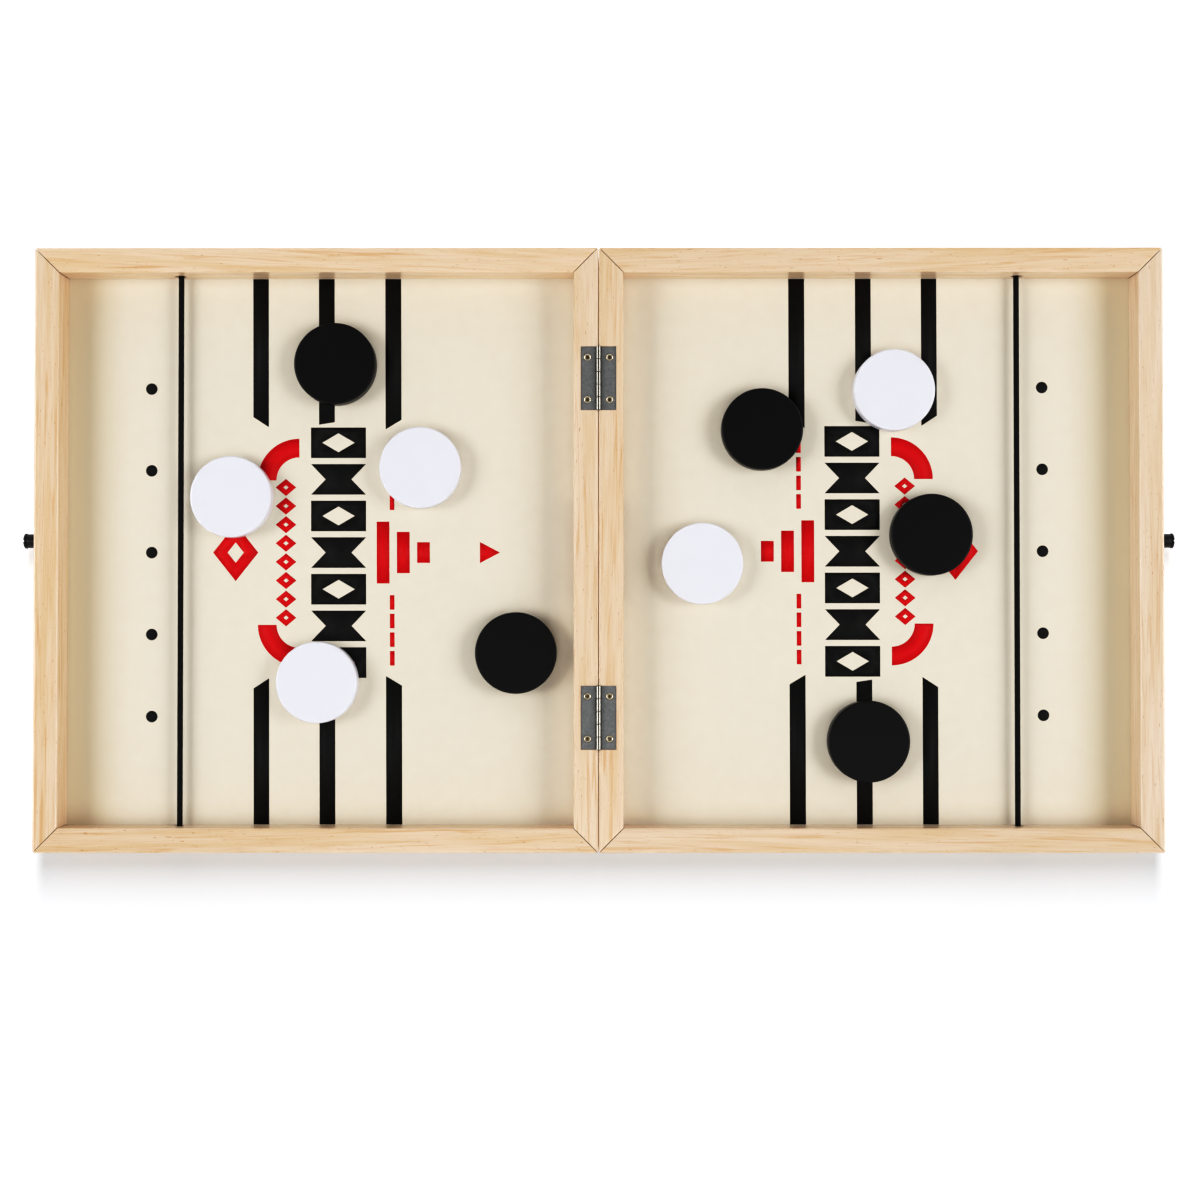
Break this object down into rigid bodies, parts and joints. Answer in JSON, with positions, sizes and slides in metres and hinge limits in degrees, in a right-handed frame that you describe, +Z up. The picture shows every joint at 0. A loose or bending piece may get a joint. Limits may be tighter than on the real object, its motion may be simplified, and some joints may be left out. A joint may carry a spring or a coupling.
{
  "type": "sling puck game",
  "caption": "Folding wooden board game: two hinged trays, a centre gate, an elastic sling cord across each tray and loose round pucks.",
  "frame": {"origin": "bottom centre of the open game's box, on the table under the seam between the trays", "axes": "+X towards the right-hand tray, +Y towards the back, +Z up"},
  "size_m": [0.5762, 0.3, 0.0266],
  "materials": {
    "wood": "clear matt lacquer on pale pine",
    "printed_board": "satin printed board",
    "cord": "braided elastic",
    "black_puck": "matt",
    "white_puck": "matt",
    "hinge": "dark antique plate",
    "screw": "dull brass plate",
    "latch": "black satin"
  },
  "bodies": {
    "left_tray": {"left_front_rail": "wood", "left_back_rail": "wood", "left_end_rail": "wood", "left_centre_rail": "wood", "left_board": "printed_board", "left_latch_sleeve": "latch", "left_latch_screw": "latch", "back_hinge_left_leaf": "hinge", "back_hinge_pin": "hinge", "back_hinge_left_front_screw": "screw", "back_hinge_left_back_screw": "screw", "front_hinge_left_leaf": "hinge", "front_hinge_pin": "hinge", "front_hinge_left_front_screw": "screw", "front_hinge_left_back_screw": "screw"},
    "right_tray": {"right_front_rail": "wood", "right_back_rail": "wood", "right_end_rail": "wood", "right_centre_rail": "wood", "right_board": "printed_board", "right_latch_sleeve": "latch", "right_latch_screw": "latch", "back_hinge_right_leaf": "hinge", "back_hinge_right_front_screw": "screw", "back_hinge_right_back_screw": "screw", "front_hinge_right_leaf": "hinge", "front_hinge_right_front_screw": "screw", "front_hinge_right_back_screw": "screw"},
    "left_sling": {"left_sling_cord": "cord"},
    "right_sling": {"right_sling_cord": "cord"},
    "black_1": {"black_puck_1": "black_puck"},
    "black_2": {"black_puck_2": "black_puck"},
    "black_3": {"black_puck_3": "black_puck"},
    "black_4": {"black_puck_4": "black_puck"},
    "black_5": {"black_puck_5": "black_puck"},
    "white_1": {"white_puck_1": "white_puck"},
    "white_2": {"white_puck_2": "white_puck"},
    "white_3": {"white_puck_3": "white_puck"},
    "white_4": {"white_puck_4": "white_puck"},
    "white_5": {"white_puck_5": "white_puck"}
  },
  "joints": [
    {"name": "fold", "type": "hinge", "parent": "left_tray", "child": "right_tray", "pos_m": [0, 0, 0.02515], "axis": [0, -1, 0], "range_deg": [0, 180]},
    {"name": "left_sling_pull", "type": "slide", "parent": "left_tray", "child": "left_sling", "axis": [-1, 0, 0], "range_m": [0, 0.05], "stiffness_N_per_m": 150, "deforming": ["left_sling_cord"]},
    {"name": "right_sling_pull", "type": "slide", "parent": "right_tray", "child": "right_sling", "axis": [1, 0, 0], "range_m": [0, 0.05], "stiffness_N_per_m": 150, "deforming": ["right_sling_cord"]},
    {"name": "black_1_slide", "type": "slide", "parent": "left_tray", "child": "black_1", "axis": [1, 0, 0], "range_m": [-0.054, 0.098]},
    {"name": "black_2_slide", "type": "slide", "parent": "left_tray", "child": "black_2", "axis": [1, 0, 0], "range_m": [-0.029, 0.0075]},
    {"name": "white_1_slide", "type": "slide", "parent": "left_tray", "child": "white_1", "axis": [1, 0, 0], "range_m": [-0.002, 0.027]},
    {"name": "white_2_slide", "type": "slide", "parent": "left_tray", "child": "white_2", "axis": [1, 0, 0], "range_m": [-0.028, 0.055]},
    {"name": "white_3_slide", "type": "slide", "parent": "left_tray", "child": "white_3", "axis": [1, 0, 0], "range_m": [-0.045, 0.03]},
    {"name": "black_3_slide", "type": "slide", "parent": "right_tray", "child": "black_3", "axis": [-1, 0, 0], "range_m": [-0.0135, 0.048]},
    {"name": "black_4_slide", "type": "slide", "parent": "right_tray", "child": "black_4", "axis": [-1, 0, 0], "range_m": [-0.0195, 0.038]},
    {"name": "black_5_slide", "type": "slide", "parent": "right_tray", "child": "black_5", "axis": [-1, 0, 0], "range_m": [-0.051, 0.101]},
    {"name": "white_4_slide", "type": "slide", "parent": "right_tray", "child": "white_4", "axis": [-1, 0, 0], "range_m": [-0.038, 0.015]},
    {"name": "white_5_slide", "type": "slide", "parent": "right_tray", "child": "white_5", "axis": [-1, 0, 0], "range_m": [-0.037, 0.018]}
  ]
}
